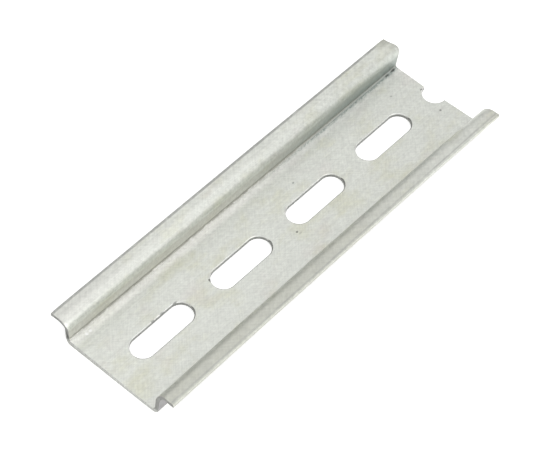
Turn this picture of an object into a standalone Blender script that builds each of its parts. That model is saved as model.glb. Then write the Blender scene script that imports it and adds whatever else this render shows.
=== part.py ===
"""Slotted 35 mm top-hat mounting rail for switchgear, cut to a short length.

One strip of zinc-plated steel, punched with a row of oblong screw slots and roll-formed
into a shallow hat: a flat web that lies on the panel, two upright walls, and two lips that
turn outwards for devices to clip on. Metres, +Z up. The rail lies along X, its web rests on
Z = 0, and its notched end is at +X. The origin is at the middle of the footprint.
"""

import bmesh
import bpy
from mathutils import Matrix, Vector

# Driving dimensions, in metres
LENGTH = 0.110           # as cut
RAIL_WIDTH = 0.035       # over both lips
RAIL_HEIGHT = 0.0075     # underside of the web to the top of the lips
BODY_WIDTH = 0.0274      # over the outer faces of the two walls
SHEET = 0.001            # thickness of the strip
FOOT_INSIDE_RADIUS = 0.0005   # where a wall meets the web
LIP_INSIDE_RADIUS = 0.002     # where a wall turns out into a lip

SLOT_LENGTH = 0.018      # over its round ends
SLOT_WIDTH = 0.0062
SLOT_PITCH = 0.025
FIRST_SLOT = 0.0158      # from the plain end to the middle of the first slot
SLOT_COUNT = 5           # the last one is cut through, and leaves a notch in the end

BEND_SEGMENTS = 6        # facets in each 90 degree bend
SLOT_END_SEGMENTS = 8    # facets in each 90 degrees of a slot's end
CUTTER_REACH = 0.003     # how far a cutter passes each face of the web

STEEL_COLOUR = (0.62, 0.64, 0.59, 1.0)
STEEL_ROUGHNESS = 0.42

FOOT_MIDDLE_RADIUS = FOOT_INSIDE_RADIUS + SHEET / 2
LIP_MIDDLE_RADIUS = LIP_INSIDE_RADIUS + SHEET / 2
WEB_MIDDLE_Z = SHEET / 2
LIP_MIDDLE_Z = RAIL_HEIGHT - SHEET / 2
WALL_MIDDLE_Y = BODY_WIDTH / 2 - SHEET / 2


def clear_scene():
    for old in list(bpy.data.objects):
        bpy.data.objects.remove(old, do_unlink=True)


def new_object(name, mesh_maker):
    """Turn a bmesh made by mesh_maker into a linked object."""
    shape = mesh_maker()
    mesh = bpy.data.meshes.new(name)
    shape.to_mesh(mesh)
    shape.free()
    made = bpy.data.objects.new(name, mesh)
    bpy.context.scene.collection.objects.link(made)
    return made


def zinc_plated_steel():
    material = bpy.data.materials.new("zinc_plated_steel")
    material.use_nodes = True
    shader = material.node_tree.nodes["Principled BSDF"]
    shader.inputs["Base Color"].default_value = STEEL_COLOUR
    shader.inputs["Metallic"].default_value = 1.0
    shader.inputs["Roughness"].default_value = STEEL_ROUGHNESS
    return material


def round_bends(shape, height, radius):
    """Round the two bend lines that lie at one height."""
    creases = [edge for edge in shape.edges if len(edge.link_faces) == 2]
    bend_lines = [edge for edge in creases if abs(edge.verts[0].co.z - height) < SHEET / 2]
    bmesh.ops.bevel(
        shape,
        geom=bend_lines,
        offset=radius,
        offset_type="OFFSET",
        affect="EDGES",
        segments=BEND_SEGMENTS,
        profile=0.5,
        material=-1,
    )


def bent_strip():
    """The strip's middle surface: six edge lines along X, with the four bend lines rounded."""
    outline = [
        (-RAIL_WIDTH / 2, LIP_MIDDLE_Z),
        (-WALL_MIDDLE_Y, LIP_MIDDLE_Z),
        (-WALL_MIDDLE_Y, WEB_MIDDLE_Z),
        (WALL_MIDDLE_Y, WEB_MIDDLE_Z),
        (WALL_MIDDLE_Y, LIP_MIDDLE_Z),
        (RAIL_WIDTH / 2, LIP_MIDDLE_Z),
    ]
    shape = bmesh.new()
    corners = [shape.verts.new((-LENGTH / 2, y, z)) for y, z in outline]
    edges = [shape.edges.new(pair) for pair in zip(corners, corners[1:])]
    swept = bmesh.ops.extrude_edge_only(shape, edges=edges)["geom"]
    far_end = [item for item in swept if isinstance(item, bmesh.types.BMVert)]
    bmesh.ops.translate(shape, verts=far_end, vec=(LENGTH, 0, 0))
    for height, radius in ((WEB_MIDDLE_Z, FOOT_MIDDLE_RADIUS), (LIP_MIDDLE_Z, LIP_MIDDLE_RADIUS)):
        round_bends(shape, height, radius)
    bmesh.ops.recalc_face_normals(shape, faces=shape.faces)
    return shape


def slot_cutter():
    """An upright bar with round ends, centred on the origin, that passes through the web."""
    shape = bmesh.new()
    size = Vector((SLOT_LENGTH, SLOT_WIDTH, SHEET + 2 * CUTTER_REACH))
    bmesh.ops.create_cube(shape, size=1, matrix=Matrix.Diagonal(size).to_4x4())
    upright = [edge for edge in shape.edges if edge.verts[0].co.xy == edge.verts[1].co.xy]
    bmesh.ops.bevel(
        shape,
        geom=upright,
        offset=SLOT_WIDTH / 2 - 0.00001,
        offset_type="OFFSET",
        affect="EDGES",
        segments=SLOT_END_SEGMENTS,
        profile=0.5,
        material=-1,
    )
    bmesh.ops.recalc_face_normals(shape, faces=shape.faces)
    return shape


def place_slot_cutters():
    """One cutter at each slot, every SLOT_PITCH along the middle of the web."""
    cutters = []
    for number in range(SLOT_COUNT):
        cutter = new_object(f"slot_cutter_{number + 1}", slot_cutter)
        cutter.location = (-LENGTH / 2 + FIRST_SLOT + number * SLOT_PITCH, 0, WEB_MIDDLE_Z)
        cutter.hide_render = True
        cutter.display_type = "WIRE"
        cutters.append(cutter)
    return cutters


def mounting_rail():
    rail = new_object("mounting_rail", bent_strip)
    rail.data.materials.append(zinc_plated_steel())
    rail.data.shade_smooth()

    thickness = rail.modifiers.new("sheet thickness", "SOLIDIFY")
    thickness.thickness = SHEET
    thickness.offset = 0
    thickness.use_even_offset = True

    for cutter in place_slot_cutters():
        punch = rail.modifiers.new(cutter.name, "BOOLEAN")
        punch.operation = "DIFFERENCE"
        punch.solver = "EXACT"
        punch.object = cutter
    return rail


clear_scene()
mounting_rail()
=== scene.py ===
import math

import bmesh
import bpy
from mathutils import Matrix, Vector, noise


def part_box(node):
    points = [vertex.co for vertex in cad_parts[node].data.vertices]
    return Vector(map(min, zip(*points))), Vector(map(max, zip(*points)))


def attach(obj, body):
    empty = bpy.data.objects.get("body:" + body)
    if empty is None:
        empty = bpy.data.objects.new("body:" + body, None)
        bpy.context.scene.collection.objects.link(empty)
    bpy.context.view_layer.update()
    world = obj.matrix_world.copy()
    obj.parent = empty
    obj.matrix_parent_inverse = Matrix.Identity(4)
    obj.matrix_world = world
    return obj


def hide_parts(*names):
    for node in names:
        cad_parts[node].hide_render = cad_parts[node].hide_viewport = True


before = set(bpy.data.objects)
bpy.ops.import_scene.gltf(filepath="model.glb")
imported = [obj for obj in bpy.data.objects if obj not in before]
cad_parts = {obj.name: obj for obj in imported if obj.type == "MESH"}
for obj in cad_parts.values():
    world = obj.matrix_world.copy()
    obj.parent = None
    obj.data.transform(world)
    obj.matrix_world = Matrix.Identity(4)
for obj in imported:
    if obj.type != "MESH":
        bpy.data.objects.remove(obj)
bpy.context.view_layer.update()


# ---------------------------------------------------------------------------------------------
# Camera and room: the rail lies on white paper, seen from above its plain end and its right
# side. A white room lights it evenly, and weak soft boxes all round give its bends their shine.
# ---------------------------------------------------------------------------------------------
CAMERA_AZIMUTH = math.radians(-51.43)
CAMERA_ELEVATION = math.radians(54.16)
CAMERA_ROLL = math.radians(4.72)
CAMERA_DISTANCE = 0.3965
CAMERA_LENS = 114.84
SENSOR_WIDTH = 36
AIM_OFFSET = Vector((-0.0028, 0.0001, 0.0003))

rail_low, rail_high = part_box("mounting_rail")
rail_centre = (rail_low + rail_high) / 2
away = Vector((
    math.sin(CAMERA_AZIMUTH) * math.cos(CAMERA_ELEVATION),
    -math.cos(CAMERA_AZIMUTH) * math.cos(CAMERA_ELEVATION),
    math.sin(CAMERA_ELEVATION),
))
lens = bpy.data.cameras.new("camera")
lens.sensor_width = SENSOR_WIDTH
lens.lens = CAMERA_LENS
camera = bpy.data.objects.new("camera", lens)
bpy.context.scene.collection.objects.link(camera)
camera.location = rail_centre + AIM_OFFSET + away * CAMERA_DISTANCE
facing = (-away).to_track_quat("-Z", "Y").to_matrix()
camera.rotation_euler = (facing @ Matrix.Rotation(CAMERA_ROLL, 3, "Z")).to_euler()
bpy.context.scene.camera = camera
bpy.context.scene.view_settings.view_transform = "Standard"


def linear(code):
    """An sRGB hex colour as linear red, green, blue and alpha."""
    channels = [int(code[at:at + 2], 16) / 255 for at in (0, 2, 4)]
    return [c / 12.92 if c <= 0.04045 else ((c + 0.055) / 1.055) ** 2.4 for c in channels] + [1.0]


def add_node(tree, kind, inputs=None, **settings):
    """Add a node with its settings, and give its inputs values or links from other nodes' outputs."""
    made = tree.nodes.new(kind)
    for name, value in settings.items():
        setattr(made, name, value)
    for socket, value in (inputs or {}).items():
        if isinstance(value, bpy.types.NodeSocket):
            tree.links.new(value, made.inputs[socket])
        else:
            made.inputs[socket].default_value = value
    return made


PAPER_SIZE = 6.0
PAPER_GAP = 0.00004
PAPER_COLOUR = "F3F3F2"
PAPER_GLOW = 0.42                   # lit from below too, so that no shadow shows on it

paper_mesh = bmesh.new()
bmesh.ops.create_grid(
    paper_mesh, x_segments=1, y_segments=1, size=PAPER_SIZE / 2,
    matrix=Matrix.Translation((0, 0, rail_low.z - PAPER_GAP)),
)
paper_data = bpy.data.meshes.new("paper")
paper_mesh.to_mesh(paper_data)
paper_mesh.free()
paper = bpy.data.objects.new("paper", paper_data)
bpy.context.scene.collection.objects.link(paper)
white_paper = bpy.data.materials.new("white_paper")
white_paper.use_nodes = True
paper_shader = white_paper.node_tree.nodes["Principled BSDF"]
paper_shader.inputs["Base Color"].default_value = linear(PAPER_COLOUR)
paper_shader.inputs["Roughness"].default_value = 1.0
paper_shader.inputs["Specular IOR Level"].default_value = 0.0
paper_shader.inputs["Emission Color"].default_value = linear("FFFFFF")
paper_shader.inputs["Emission Strength"].default_value = PAPER_GLOW
paper_data.materials.append(white_paper)

ROOM_BRIGHTNESS = 0.51
room = bpy.data.worlds.new("white room")
bpy.context.scene.world = room
room.use_nodes = True
room.node_tree.nodes["Background"].inputs["Color"].default_value = linear("FFFFFF")
room.node_tree.nodes["Background"].inputs["Strength"].default_value = ROOM_BRIGHTNESS

# Soft boxes all round, at one distance: azimuth from +X, elevation, and power in watts
PANEL_DISTANCE = 0.70
PANEL_SIZE = 0.42
panels = {
    "high back softbox": (10, 62, 0.20),
    "high left softbox": (82, 62, 0.32),
    "high front softbox": (154, 62, 0.75),
    "high right softbox": (298, 62, 0.85),
    "back softbox": (20, 38, 0.26),
    "left softbox": (65, 38, 0.42),
    "right softbox": (290, 38, 0.27),
    "low front softbox": (252, 14, 2.30),
    "low right softbox": (288, 14, 0.62),
    "top softbox": (0, 88, 0.18),
}
for name, (azimuth, elevation, power) in panels.items():
    turn, tilt = math.radians(azimuth), math.radians(elevation)
    toward = Vector((math.cos(turn) * math.cos(tilt), math.sin(turn) * math.cos(tilt), math.sin(tilt)))
    lamp = bpy.data.lights.new(name, "AREA")
    lamp.size = PANEL_SIZE
    lamp.energy = power
    panel = bpy.data.objects.new(name, lamp)
    bpy.context.scene.collection.objects.link(panel)
    panel.location = toward * PANEL_DISTANCE
    panel.rotation_euler = (-toward).to_track_quat("-Z", "Y").to_euler()


# ---------------------------------------------------------------------------------------------
# The rail: mild steel strip 1 mm thick, zinc plated, punched with a row of oblong slots and
# roll-formed into a hat. A shear cut it to length, so its ends are a little askew.
# ---------------------------------------------------------------------------------------------
SHEET = 0.001
BODY_WIDTH = 0.0274                 # over the outer faces of the two walls
FOOT_INSIDE_RADIUS = 0.0005         # where a wall meets the web
LIP_INSIDE_RADIUS = 0.002           # where a wall turns out into a lip
FOOT_SEGMENTS = 8
LIP_SEGMENTS = 20
SPARE = 0.003                       # extra length, which the shear takes off each end

rail_length = rail_high.x - rail_low.x
rail_width = rail_high.y - rail_low.y
rail_height = rail_high.z - rail_low.z
web_middle = SHEET / 2
wall_middle = BODY_WIDTH / 2 - SHEET / 2
lip_middle = rail_height - SHEET / 2

strip = bmesh.new()
outline = [
    (-rail_width / 2, lip_middle), (-wall_middle, lip_middle), (-wall_middle, web_middle),
    (wall_middle, web_middle), (wall_middle, lip_middle), (rail_width / 2, lip_middle),
]
corners = [strip.verts.new((rail_low.x - SPARE, y, z)) for y, z in outline]
edges = [strip.edges.new(pair) for pair in zip(corners, corners[1:])]
swept = bmesh.ops.extrude_edge_only(strip, edges=edges)["geom"]
far_end = [item for item in swept if isinstance(item, bmesh.types.BMVert)]
bmesh.ops.translate(strip, verts=far_end, vec=(rail_length + 2 * SPARE, 0, 0))
for height, inside, segments in (
    (web_middle, FOOT_INSIDE_RADIUS, FOOT_SEGMENTS),
    (lip_middle, LIP_INSIDE_RADIUS, LIP_SEGMENTS),
):
    creases = [edge for edge in strip.edges if len(edge.link_faces) == 2]
    bmesh.ops.bevel(
        strip, geom=[edge for edge in creases if abs(edge.verts[0].co.z - height) < SHEET / 2],
        offset=inside + SHEET / 2, offset_type="OFFSET", affect="EDGES",
        segments=segments, profile=0.5, material=-1,
    )
bmesh.ops.recalc_face_normals(strip, faces=strip.faces)


def make_object(name, shape):
    """A linked object from a bmesh, which is then done with."""
    mesh = bpy.data.meshes.new(name)
    shape.to_mesh(mesh)
    shape.free()
    made = bpy.data.objects.new(name, mesh)
    bpy.context.scene.collection.objects.link(made)
    return made


def bake_modifiers(item):
    """Replace an object's mesh by what its modifiers make of it."""
    graph = bpy.context.evaluated_depsgraph_get()
    finished = bpy.data.meshes.new_from_object(item.evaluated_get(graph))
    item.modifiers.clear()
    item.data = finished


rail = make_object("rail", strip)
thickness = rail.modifiers.new("sheet thickness", "SOLIDIFY")
thickness.thickness = SHEET
thickness.offset = 0
thickness.use_even_offset = True
bake_modifiers(rail)

# The slitter drags the upper edge of each lip down into a roll, and leaves the lower one crisp.
LIP_ROLL = 0.00034
ROLL_SEGMENTS = 5
CRISP = 0.00006
CRISP_SEGMENTS = 2
SHARP = math.radians(50)

work = bmesh.new()
work.from_mesh(rail.data)


def square_edges():
    """The edges along the rail that a cutting tool left square."""
    return [
        edge for edge in work.edges
        if edge.calc_face_angle(0) > SHARP and abs(edge.verts[0].co.x - edge.verts[1].co.x) > SPARE
    ]


def ease(edges, width, segments):
    """Round off some edges of the rail."""
    bmesh.ops.bevel(
        work, geom=edges, offset=width, offset_type="OFFSET", affect="EDGES",
        segments=segments, profile=0.5, material=-1, clamp_overlap=True,
    )


ease([edge for edge in square_edges() if edge.verts[0].co.z > lip_middle], LIP_ROLL, ROLL_SEGMENTS)
ease([edge for edge in square_edges() if edge.verts[0].co.z < lip_middle], CRISP, CRISP_SEGMENTS)

# Each end is sheared along a plane a few degrees off square: lean is how far the cut runs
# along the rail for each unit of width, and rake the same for each unit of height.
PLAIN_END_LEAN, PLAIN_END_RAKE = -0.050, 0.067
NOTCHED_END_LEAN, NOTCHED_END_RAKE = -0.035, 0.095
NOTCHED_END_SPARE = 0.00013
END_EASE = 0.00015
TOUCHING = 0.000001                 # points closer than this are one

for x, lean, rake, sign in (
    (rail_low.x, PLAIN_END_LEAN, PLAIN_END_RAKE, -1),
    (rail_high.x + NOTCHED_END_SPARE, NOTCHED_END_LEAN, NOTCHED_END_RAKE, 1),
):
    cut = bmesh.ops.bisect_plane(
        work, geom=work.verts[:] + work.edges[:] + work.faces[:],
        plane_co=(x, 0, SHEET), plane_no=(sign, -lean * sign, -rake * sign), clear_outer=True,
    )
    rim = [item for item in cut["geom_cut"] if isinstance(item, bmesh.types.BMEdge)]
    bmesh.ops.contextual_create(work, geom=rim)
    ease(rim, END_EASE, CRISP_SEGMENTS)
bmesh.ops.dissolve_degenerate(work, dist=TOUCHING, edges=work.edges)
bmesh.ops.recalc_face_normals(work, faces=work.faces)
work.to_mesh(rail.data)
work.free()

# The punch presses the web's upper face down round each slot before it breaks through, so
# the slot flares at its top. The last slot is cut through by the shear, and leaves a notch.
SLOT_LENGTH = 0.018
SLOT_WIDTH = 0.0062
SLOT_PITCH = 0.025
FIRST_SLOT = 0.0158                 # from the plain end to the middle of the first slot
# How far each punch stroke fell off its mark, along and across, and how short its slot came out
strokes = [
    (0.00010, 0.00010, 0.00015), (0.00026, -0.00003, 0.00025), (0.00024, -0.00008, 0.00040),
    (0.00032, 0.00045, 0.00060), (0.00014, 0.00038, 0.00020),
]
SLOT_SEGMENTS = 72
SLOT_ROLL_WIDTH = 0.00030
SLOT_ROLL_DEPTH = 0.00042
ROLL_STEPS = 7
ROLL_END = math.radians(72)         # the flare stops short of level, so that it meets the web cleanly
PUNCH_REACH = 0.003
SLOT_WEAR = 0.0001                  # a worn punch cuts this much inside its size, all round

levels = [(0, -PUNCH_REACH), (0, SHEET - SLOT_ROLL_DEPTH)]
for step in range(1, ROLL_STEPS + 1):
    angle = ROLL_END * step / ROLL_STEPS
    levels.append((
        SLOT_ROLL_WIDTH * (1 - math.cos(angle)),
        SHEET - SLOT_ROLL_DEPTH * (1 - math.sin(angle)),
    ))
slope = SLOT_ROLL_WIDTH * math.sin(ROLL_END) / (SLOT_ROLL_DEPTH * math.cos(ROLL_END))
above = 2 * SLOT_ROLL_DEPTH * (1 - math.sin(ROLL_END))
levels.append((levels[-1][0] + slope * above, levels[-1][1] + above))
levels.append((levels[-1][0], SHEET + PUNCH_REACH))

punch = bmesh.new()
for number, (feed, drift, shortfall) in enumerate(strokes):
    middle = rail_low.x + FIRST_SLOT + SLOT_PITCH * number + feed
    stretch = (SLOT_LENGTH - SLOT_WIDTH - shortfall) / 2
    below = None
    for spread, height in levels:
        ring = bmesh.ops.create_circle(
            punch, cap_ends=False, radius=SLOT_WIDTH / 2 - SLOT_WEAR + spread, segments=SLOT_SEGMENTS,
            matrix=Matrix.Translation((middle, drift, height)),
        )["verts"]
        for half in (-1, 1):
            side = [vert for vert in ring if (vert.co.x - middle) * half > 0]
            bmesh.ops.translate(punch, verts=side, vec=(half * stretch, 0, 0))
        loop = list({edge for vert in ring for edge in vert.link_edges})
        if below:
            bmesh.ops.bridge_loops(punch, edges=below + loop)
        below = loop
bmesh.ops.holes_fill(punch, edges=[edge for edge in punch.edges if edge.is_boundary], sides=0)
bmesh.ops.recalc_face_normals(punch, faces=punch.faces)
punches = make_object("punches", punch)
punching = rail.modifiers.new("punched slots", "BOOLEAN")
punching.operation = "DIFFERENCE"
punching.solver = "EXACT"
punching.object = punches
bake_modifiers(rail)
bpy.data.objects.remove(punches, do_unlink=True)

# No strip comes out of the rolls quite straight: the lips wander a little along the rail. The
# shear drags the last stretch of each end down, and squeezes the stiff bends along the rail.
WAVE_LENGTH = 0.022
WAVE_RISE = 0.00007
WANDER_SEED = (7.3, 0.5)
LIFT_SEED = (3.1, 9.5)
# The right lip's bow: in its middle, and what it gains with length and with length squared
RIGHT_BOW = (0.00020, -0.00010, -0.00030)
STATION = 0.0025                    # distance between the cross lines that let the sheet bend
DRAG_LENGTH = 0.0016
DRAG_DEPTH = 0.00016
DRAG_STEPS = 4
SQUEEZE_LENGTH = 0.0045
# End, then across and up, how far the squeeze reaches, and its shift along the rail and up
squeezes = [
    (-1, 0.0129, 0.0038, 0.0026, 0.00045, 0.0),
    (-1, 0.0130, 0.0012, 0.0018, 0.00055, 0.0),
    (-1, -0.0140, 0.0066, 0.0017, 0.00080, 0.0),
    (-1, -0.0175, 0.0072, 0.0015, 0.00030, 0.0),
    (1, 0.0137, 0.0063, 0.0017, 0.00095, 0.0),
    (1, 0.0127, 0.0036, 0.0028, 0.00050, 0.0),
    (1, 0.0130, 0.0010, 0.0018, 0.00030, 0.0),
    (1, 0.0162, 0.0075, 0.0010, -0.00015, -0.00008),
]

work = bmesh.new()
work.from_mesh(rail.data)
stations = [rail_low.x + STATION * number for number in range(1, round(rail_length / STATION))]
for number in range(1, DRAG_STEPS + 1):
    inset = DRAG_LENGTH * number / DRAG_STEPS
    stations += [rail_low.x + inset, rail_high.x - inset]
for x in stations:
    bmesh.ops.bisect_plane(
        work, geom=work.verts[:] + work.edges[:] + work.faces[:],
        plane_co=(x, 0, 0), plane_no=(1, 0, 0),
    )
for vert in work.verts:
    x, y, z = vert.co
    raised = min(max((z - SHEET) / (lip_middle - SHEET), 0), 1)
    flank = 1 if y > 0 else -1
    wander = WAVE_RISE * noise.noise(Vector((x / WAVE_LENGTH, flank * WANDER_SEED[0], WANDER_SEED[1])))
    lift = WAVE_RISE * noise.noise(Vector((x / WAVE_LENGTH, flank * LIFT_SEED[0], LIFT_SEED[1])))
    if flank < 0:
        reach_along = 2 * x / rail_length
        wander += RIGHT_BOW[0] + RIGHT_BOW[1] * reach_along + RIGHT_BOW[2] * reach_along ** 2
    beyond = abs(x) - (rail_length / 2 - DRAG_LENGTH)
    drag = min((max(beyond, 0) / DRAG_LENGTH) ** 2, 1)
    shift = Vector((0, raised * wander, raised * (lift - WAVE_RISE - DRAG_DEPTH * drag)))
    for end, centre_y, centre_z, reach, push, rise in squeezes:
        inside = min(max(rail_length / 2 - end * x, 0), SQUEEZE_LENGTH)
        away_squared = (y - centre_y) ** 2 + (z - centre_z) ** 2
        weight = (1 - inside / SQUEEZE_LENGTH) ** 2 * math.exp(-away_squared / reach ** 2)
        shift += weight * Vector((push, 0, rise))
    vert.co += shift
work.to_mesh(rail.data)
work.free()

SHADING_BREAK = math.radians(42)
LARGE_FACES_LEAD = 100              # the flat faces set the shading where a bend meets them

rail.data.shade_smooth()
rail.data.set_sharp_from_angle(angle=SHADING_BREAK)
even_shading = rail.modifiers.new("even shading", "WEIGHTED_NORMAL")
even_shading.keep_sharp = True
even_shading.weight = LARGE_FACES_LEAD

# Bright zinc plating over cold-rolled strip: a satin pale grey metal that shows the fine brushing
# of the mill, and faint olive and pinkish clouds where the passivation is thicker. A painted
# highlight brightens the web beside the left wall's foot, and the dark seam in the foot is grime
# with painted shade of the crease over it. Painted shade darkens the left wall towards its foot,
# and more of it darkens the foot, wall and bend towards the notched end, with a row of dark beads
# beside the foot.
ZINC = "D1D3CD"
OLIVE_CLOUD = "C6C6B0"
ROSE_CLOUD = "CBC4C1"
# painted highlight on the web beside the left wall's foot
FOOT_PAINTED_HIGHLIGHT = "FAFAF7"
# the foot's seam: grime, with painted shade of the crease over it
SEAM_GRIME_AND_SHADE = "A0A098"
# painted shade on the left wall, darkest at its foot
WALL_PAINTED_SHADE = "AAA89E"
# painted shade on the left wall and bend towards the notched end, and the dark beads by the foot
FOOT_BEADS_AND_SHADE = "929E9B"
# painted shade on the walls' outer faces beneath the lips
UNDER_LIP_PAINTED_SHADE = "8B8791"
# a more neutral tint on the left lip and bend, with painted shade over their highlight near the plain
# end
LEFT_LIP_TINT_AND_SHADE = "C6C6C1"
# the right lip's darker tone, and painted shade on the left lip's bent corner at the notched end
LIP_DARK_AND_CORNER_SHADE = "B9BAB1"
STREAK_DARK = "A9AAA6"
RIM_DARK = "A3A4A0"
# bright flecks where the plating is rubbed through, and a painted highlight on the slots' rolled edges
RUBBED_AND_PAINTED_HIGHLIGHT = "FFFFFF"
# pits and specks in the plating, and painted shade in the nicks and gaps by the slots' burrs
PIT_AND_BURR_SHADE = "4E504D"
ZINC_ROUGHNESS = (0.45, 0.55)

zinc = bpy.data.materials.new("zinc_plated_steel")
zinc.use_nodes = True
tree = zinc.node_tree
shader = tree.nodes["Principled BSDF"]
shader.inputs["Metallic"].default_value = 1.0
place = add_node(tree, "ShaderNodeTexCoord").outputs["Object"]
spot = add_node(tree, "ShaderNodeSeparateXYZ", {"Vector": place})
along, side, height = spot.outputs["X"], spot.outputs["Y"], spot.outputs["Z"]
across = add_node(tree, "ShaderNodeMath", {0: side}, operation="ABSOLUTE").outputs[0]

# Size of each grain along, across and up, its turn in the web's plane, and its detail. The lines
# that the brushes and the rolls leave are about 0.02 mm wide, too fine to show, so they are
# drawn 0.2 mm to 0.35 mm wide.
GRAIN_SHIFT = 0.1                   # moves each grain's pattern on, so that no two line up
FINE_SHARE = 0.6
grains = {
    "olive cloud": ((0.011, 0.006, 0.006), 0, 4),
    "rose cloud": ((0.009, 0.007, 0.007), 20, 3),
    "mottle": ((0.0011, 0.0009, 0.0009), 0, 3),
    "roll lines": ((0.009, 0.00022, 0.00022), 0, 2),
    "brush lines": ((0.0030, 0.00034, 0.001), 47, 2),
    "cross lines": ((0.0030, 0.00034, 0.001), -41, 2),
    "seam breaks": ((0.0016, 0.001, 0.0006), 0, 3),
    "beads": ((0.0007, 0.0004, 0.0006), 15, 3),
}
grain = {}
for number, (name, (size, turn, detail)) in enumerate(grains.items()):
    mapped = add_node(tree, "ShaderNodeMapping", {
        "Vector": place, "Location": (GRAIN_SHIFT * number, 0, 0),
        "Rotation": (0, 0, math.radians(turn)), "Scale": size,
    }, vector_type="TEXTURE")
    grain[name] = add_node(tree, "ShaderNodeTexNoise", {
        "Vector": mapped.outputs["Vector"], "Scale": 1.0, "Detail": detail, "Roughness": FINE_SHARE,
    }).outputs["Fac"]

# Distance from the line where the foot's bend runs into the wall
SEAM_HEIGHT = 0.00024
foot_y = BODY_WIDTH / 2 - SHEET
seam_line = add_node(tree, "ShaderNodeCombineXYZ", {"Y": foot_y, "Z": SHEET + SEAM_HEIGHT})
here = add_node(tree, "ShaderNodeCombineXYZ", {"Y": across, "Z": height})
from_seam = add_node(tree, "ShaderNodeVectorMath", {
    0: here.outputs["Vector"], 1: seam_line.outputs["Vector"],
}, operation="DISTANCE").outputs["Value"]

# Each mask is a product of eased rises: what it follows, where it starts and ends, and the
# strength it goes from and to. Lengths are in metres on the rail, and a grain runs from 0 to 1.
rises = {
    "olive": [(grain["olive cloud"], 0.46, 0.74, 0.0, 0.60)],
    "rose": [(grain["rose cloud"], 0.52, 0.76, 0.0, 0.30)],
    # Painted highlight: a bright band on the web beside the left wall's foot.
    "foot painted highlight": [
        (side, foot_y - 0.0031, foot_y - 0.0007, 0.0, 1.0),
        (side, foot_y - 0.0002, foot_y, 1.0, 0.0),
        (along, -0.010, 0.050, 1.0, 0.5),
        (grain["seam breaks"], 0.30, 0.55, 0.8, 1.0),
    ],
    # Painted shade on the lower left wall, fading upwards from the foot.
    "wall painted shade": [
        (side, foot_y - 0.0002, foot_y, 0.0, 0.45),
        (height, 0.0048, 0.0040, 0.0, 1.0),
    ],
    # Painted shade on the left wall, its foot and bend, growing towards the notched end.
    "notched end painted shade": [
        (side, foot_y - 0.0007, foot_y - 0.0004, 0.0, 1.0),
        (height, 0.0078, 0.0016, 0.0, 1.0),
        (along, -0.008, 0.046, 0.0, 0.74),
    ],
    "foot beads": [
        (side, foot_y - 0.0013, foot_y - 0.0007, 0.0, 1.0),
        (side, foot_y - 0.0004, foot_y - 0.0006, 0.0, 1.0),
        (along, -0.004, 0.034, 0.0, 0.8),
        (grain["beads"], 0.44, 0.62, 0.15, 0.9),
    ],
    # Neutral tint, and painted shade over the left lip's and bend's highlight, strongest at the plain
    # end.
    "left lip tint and shade": [
        (side, foot_y + 0.0003, foot_y + 0.0012, 0.0, 1.0),
        (along, -0.052, -0.020, 0.70, 0.10),
    ],
    # The right lip drawn darker, most towards the plain end.
    "right lip darker": [
        (side, -0.0130, -0.0145, 0.0, 1.0),
        (along, -0.010, 0.048, 0.9, 0.2),
        (grain["roll lines"], 0.25, 0.75, 0.8, 1.0),
    ],
    "streak": [
        (side, -0.0164, -0.0167, 0.0, 0.8),
        (side, -0.0171, -0.0168, 0.0, 1.0),
        (grain["roll lines"], 0.35, 0.60, 0.2, 1.0),
    ],
    "rim": [
        (side, 0.0166, 0.0169, 0.0, 1.0),
        (grain["seam breaks"], 0.30, 0.55, 0.6, 1.0),
    ],
    # The foot's seam: grime with painted shade of the crease, broken along its length.
    "seam": [
        (from_seam, 0.00062, 0.00022, 0.0, 1.0),
        (along, 0.010, 0.050, 1.0, 0.55),
        (grain["seam breaks"], 0.30, 0.50, 0.55, 1.0),
    ],
    # Painted shade on the walls' outer faces beneath the lips.
    "under lip painted shade": [
        (across, wall_middle + 0.0001, wall_middle + 0.0002, 0.0, 1.0),
        (height, 0.0060, 0.0052, 0.0, 0.9),
    ],
    # Painted highlight on the top of the slots' rolled edges, stronger on their left side.
    "slot painted highlight": [
        (height, SHEET - 0.00001, SHEET - 0.00005, 0.0, 1.0),
        (height, SHEET - 0.00022, SHEET - 0.00010, 0.0, 1.0),
        (across, SLOT_WIDTH / 2 + 3 * SLOT_ROLL_WIDTH, SLOT_WIDTH / 2 + 2 * SLOT_ROLL_WIDTH, 0.0, 1.0),
        (side, -0.001, 0.002, 0.0, 0.6),
    ],
    "tone": [
        (grain["mottle"], 0.25, 0.75, 0.92, 1.08),
        (grain["roll lines"], 0.20, 0.80, 0.955, 1.045),
        (grain["brush lines"], 0.20, 0.80, 0.94, 1.06),
        (grain["cross lines"], 0.20, 0.80, 0.94, 1.06),
    ],
    "roughness": [(grain["mottle"], 0.30, 0.70, *ZINC_ROUGHNESS)],
}
mask = {}
for name, factors in rises.items():
    strength = 1.0
    for value, begins, ends, start, end in factors:
        rise = add_node(tree, "ShaderNodeMapRange", {
            "Value": value, "From Min": begins, "From Max": ends, "To Min": start, "To Max": end,
        }, interpolation_type="SMOOTHSTEP")
        strength = add_node(tree, "ShaderNodeMath", {
            0: rise.outputs["Result"], 1: strength,
        }, operation="MULTIPLY").outputs[0]
    mask[name] = strength

# Sockets of a Mix node that mixes colours
SHARE, GROUND, COAT, MIXED = 0, 6, 7, 2

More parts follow.
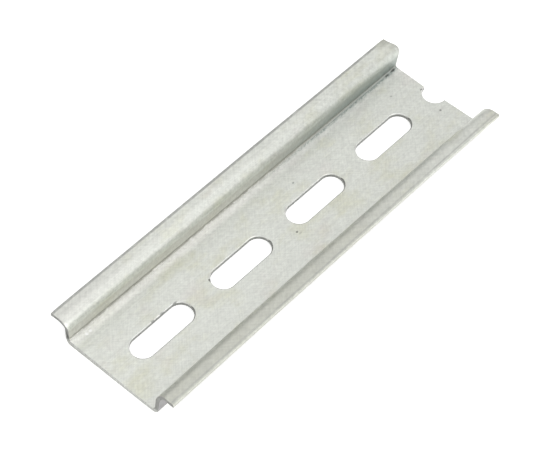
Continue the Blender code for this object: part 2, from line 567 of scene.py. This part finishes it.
colour = linear(ZINC)
for name, paint in (
    ("olive", OLIVE_CLOUD), ("rose", ROSE_CLOUD), ("foot painted highlight", FOOT_PAINTED_HIGHLIGHT), ("wall painted shade", WALL_PAINTED_SHADE),
    ("left lip tint and shade", LEFT_LIP_TINT_AND_SHADE), ("notched end painted shade", FOOT_BEADS_AND_SHADE), ("foot beads", FOOT_BEADS_AND_SHADE),
    ("under lip painted shade", UNDER_LIP_PAINTED_SHADE), ("right lip darker", LIP_DARK_AND_CORNER_SHADE), ("streak", STREAK_DARK), ("rim", RIM_DARK),
    ("seam", SEAM_GRIME_AND_SHADE), ("slot painted highlight", RUBBED_AND_PAINTED_HIGHLIGHT),
):
    layer = add_node(tree, "ShaderNodeMix", {
        SHARE: mask[name], GROUND: colour, COAT: linear(paint),
    }, data_type="RGBA")
    colour = layer.outputs[MIXED]

# Small marks of handling and of the tools: painted shade in the nicks and gaps by the burrs beside
# the slots, pits in the plating, two dark spots in the notched end's left corner, bright flecks
# where it is rubbed through, and painted shade on the left lip's bent corner at the notched end.
# Place along, across and up, half length and half width, colour and strength.
marks = [
    (-0.0323, 0.00300, SHEET, 0.0009, 0.00028, PIT_AND_BURR_SHADE, 0.6),
    (-0.0361, 0.00320, SHEET, 0.0008, 0.00024, PIT_AND_BURR_SHADE, 0.5),
    (-0.0389, 0.00320, SHEET, 0.0006, 0.00020, PIT_AND_BURR_SHADE, 0.5),
    (-0.0224, 0.00160, SHEET, 0.0004, 0.00060, PIT_AND_BURR_SHADE, 0.8),
    (0.0537, 0.00340, SHEET, 0.0005, 0.00022, PIT_AND_BURR_SHADE, 0.7),
    (0.0535, 0.01225, SHEET, 0.0010, 0.00036, PIT_AND_BURR_SHADE, 0.8),
    (0.0512, 0.01217, SHEET, 0.0008, 0.00034, PIT_AND_BURR_SHADE, 0.7),
    (0.0010, -0.00343, SHEET, 0.0004, 0.00034, PIT_AND_BURR_SHADE, 0.7),
    (0.0014, -0.00420, SHEET, 0.0006, 0.00030, PIT_AND_BURR_SHADE, 0.2),
    (0.0108, 0.00659, SHEET, 0.0004, 0.00030, PIT_AND_BURR_SHADE, 0.5),
    (0.0520, -0.00408, SHEET, 0.0004, 0.00036, PIT_AND_BURR_SHADE, 0.6),
    (0.0469, 0.00720, SHEET, 0.0004, 0.00026, PIT_AND_BURR_SHADE, 0.4),
    (-0.0512, 0.01110, SHEET, 0.0005, 0.00045, RUBBED_AND_PAINTED_HIGHLIGHT, 1.0),
    (-0.0501, 0.01115, SHEET, 0.0005, 0.00045, RUBBED_AND_PAINTED_HIGHLIGHT, 1.0),
    # painted shade on the left lip's bent corner at the notched end
    (0.0547, 0.01660, rail_height, 0.0042, 0.00160, LIP_DARK_AND_CORNER_SHADE, 0.8),
]
MARK_EDGE = 0.5                     # the part of a mark's half width that its soft edge takes
for x, y, z, half_length, half_width, paint, strength in marks:
    centred = add_node(tree, "ShaderNodeMapping", {
        "Vector": place, "Location": (x, y, z), "Scale": (half_length, half_width, SHEET),
    }, vector_type="TEXTURE")
    blob = add_node(tree, "ShaderNodeTexGradient", {
        "Vector": centred.outputs["Vector"],
    }, gradient_type="SPHERICAL")
    softened = add_node(tree, "ShaderNodeMapRange", {
        "Value": blob.outputs["Fac"], "From Min": 0.0, "From Max": MARK_EDGE,
        "To Min": 0.0, "To Max": strength,
    }, interpolation_type="SMOOTHSTEP")
    layer = add_node(tree, "ShaderNodeMix", {
        SHARE: softened.outputs["Result"], GROUND: colour, COAT: linear(paint),
    }, data_type="RGBA")
    colour = layer.outputs[MIXED]

toned = add_node(tree, "ShaderNodeVectorMath", {0: colour, "Scale": mask["tone"]}, operation="SCALE")
tree.links.new(toned.outputs["Vector"], shader.inputs["Base Color"])
tree.links.new(mask["roughness"], shader.inputs["Roughness"])

BRUSH_DEPTH = 0.000012
BRUSH_STRENGTH = 0.35
texture = 0.0
for name in ("brush lines", "cross lines", "roll lines", "mottle"):
    texture = add_node(tree, "ShaderNodeMath", {0: grain[name], 1: texture}, operation="ADD").outputs[0]
relief = add_node(tree, "ShaderNodeBump", {
    "Height": texture, "Strength": BRUSH_STRENGTH, "Distance": BRUSH_DEPTH,
})
tree.links.new(relief.outputs["Normal"], shader.inputs["Normal"])

# Cut steel: the bare core of the sheet, darker and rougher than the plating, and scored from face
# to face by the tool. The punched walls are darker than the sheared ends, partly for the torn steel
# and partly as painted shade inside the slots. The ends of the raised walls and lips are drawn
# darker than the web's. Real scores are about 0.05 mm apart, too fine to show, so they are drawn
# 0.3 mm apart.
PUNCHED_SHADE = "8A8B88"
SHEARED_SHADE = "B9BAB6"
BARE_ROUGHNESS = 0.5
SCORE_SIZE = (0.0003, 0.0003, 0.0015)
SCORE_TONES = (0.75, 1.15)
SCORE_DEPTH = 0.00003
SCORE_STRENGTH = 0.6
RAISED_DARK_TOP = 1.6 * SHEET
RAISED_DARK_TONE = 0.55
PLATED, PUNCHED, SHEARED = 0, 1, 2

rail.data.materials.clear()
rail.data.materials.append(zinc)
for name, shade in (("punched_steel", PUNCHED_SHADE), ("sheared_steel", SHEARED_SHADE)):
    bare = bpy.data.materials.new(name)
    bare.use_nodes = True
    tree = bare.node_tree
    shader = tree.nodes["Principled BSDF"]
    shader.inputs["Metallic"].default_value = 1.0
    shader.inputs["Roughness"].default_value = BARE_ROUGHNESS
    place = add_node(tree, "ShaderNodeTexCoord").outputs["Object"]
    scored = add_node(tree, "ShaderNodeMapping", {
        "Vector": place, "Scale": SCORE_SIZE,
    }, vector_type="TEXTURE")
    scores = add_node(tree, "ShaderNodeTexNoise", {
        "Vector": scored.outputs["Vector"], "Scale": 1.0, "Detail": 3,
    }).outputs["Fac"]
    shades = add_node(tree, "ShaderNodeMapRange", {
        "Value": scores, "From Min": 0.3, "From Max": 0.7,
        "To Min": SCORE_TONES[0], "To Max": SCORE_TONES[1],
    })
    level = add_node(tree, "ShaderNodeSeparateXYZ", {"Vector": place}).outputs["Z"]
    darker_raised = add_node(tree, "ShaderNodeMapRange", {
        "Value": level, "From Min": SHEET, "From Max": RAISED_DARK_TOP, "To Min": 1.0, "To Max": RAISED_DARK_TONE,
    })
    factor = add_node(tree, "ShaderNodeMath", {
        0: shades.outputs["Result"], 1: darker_raised.outputs["Result"],
    }, operation="MULTIPLY")
    shaded = add_node(tree, "ShaderNodeVectorMath", {
        0: linear(shade)[:3], "Scale": factor.outputs[0],
    }, operation="SCALE")
    tree.links.new(shaded.outputs["Vector"], shader.inputs["Base Color"])
    relief = add_node(tree, "ShaderNodeBump", {
        "Height": scores, "Strength": SCORE_STRENGTH, "Distance": SCORE_DEPTH,
    })
    tree.links.new(relief.outputs["Normal"], shader.inputs["Normal"])
    rail.data.materials.append(bare)

# The right side of each slot's rolled edge turns away from the light, and takes the punched finish as
# painted shade.
SLOT_REACH = SLOT_WIDTH / 2 + 2 * SLOT_ROLL_WIDTH + max(drift for feed, drift, shortfall in strokes)
UPRIGHT = 0.3                       # a face counts as upright while its normal rises less than this
LEVEL = 0.98                        # and as level from this on
TURNED_LEFT = 0.1
SQUARE_ON = 0.8
for face in rail.data.polygons:
    in_slot = abs(face.center.y) < SLOT_REACH and face.center.z < SHEET
    upright = abs(face.normal.z) < UPRIGHT
    shaded_roll = face.normal.y > TURNED_LEFT and UPRIGHT <= face.normal.z < LEVEL
    faces_end = abs(face.normal.x) > SQUARE_ON
    if faces_end and abs(face.center.x) > rail_length / 2 - 2 * SHEET:
        face.material_index = SHEARED
    elif in_slot and (upright or shaded_roll):
        face.material_index = PUNCHED
    else:
        face.material_index = PLATED

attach(rail, "root")
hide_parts("mounting_rail")
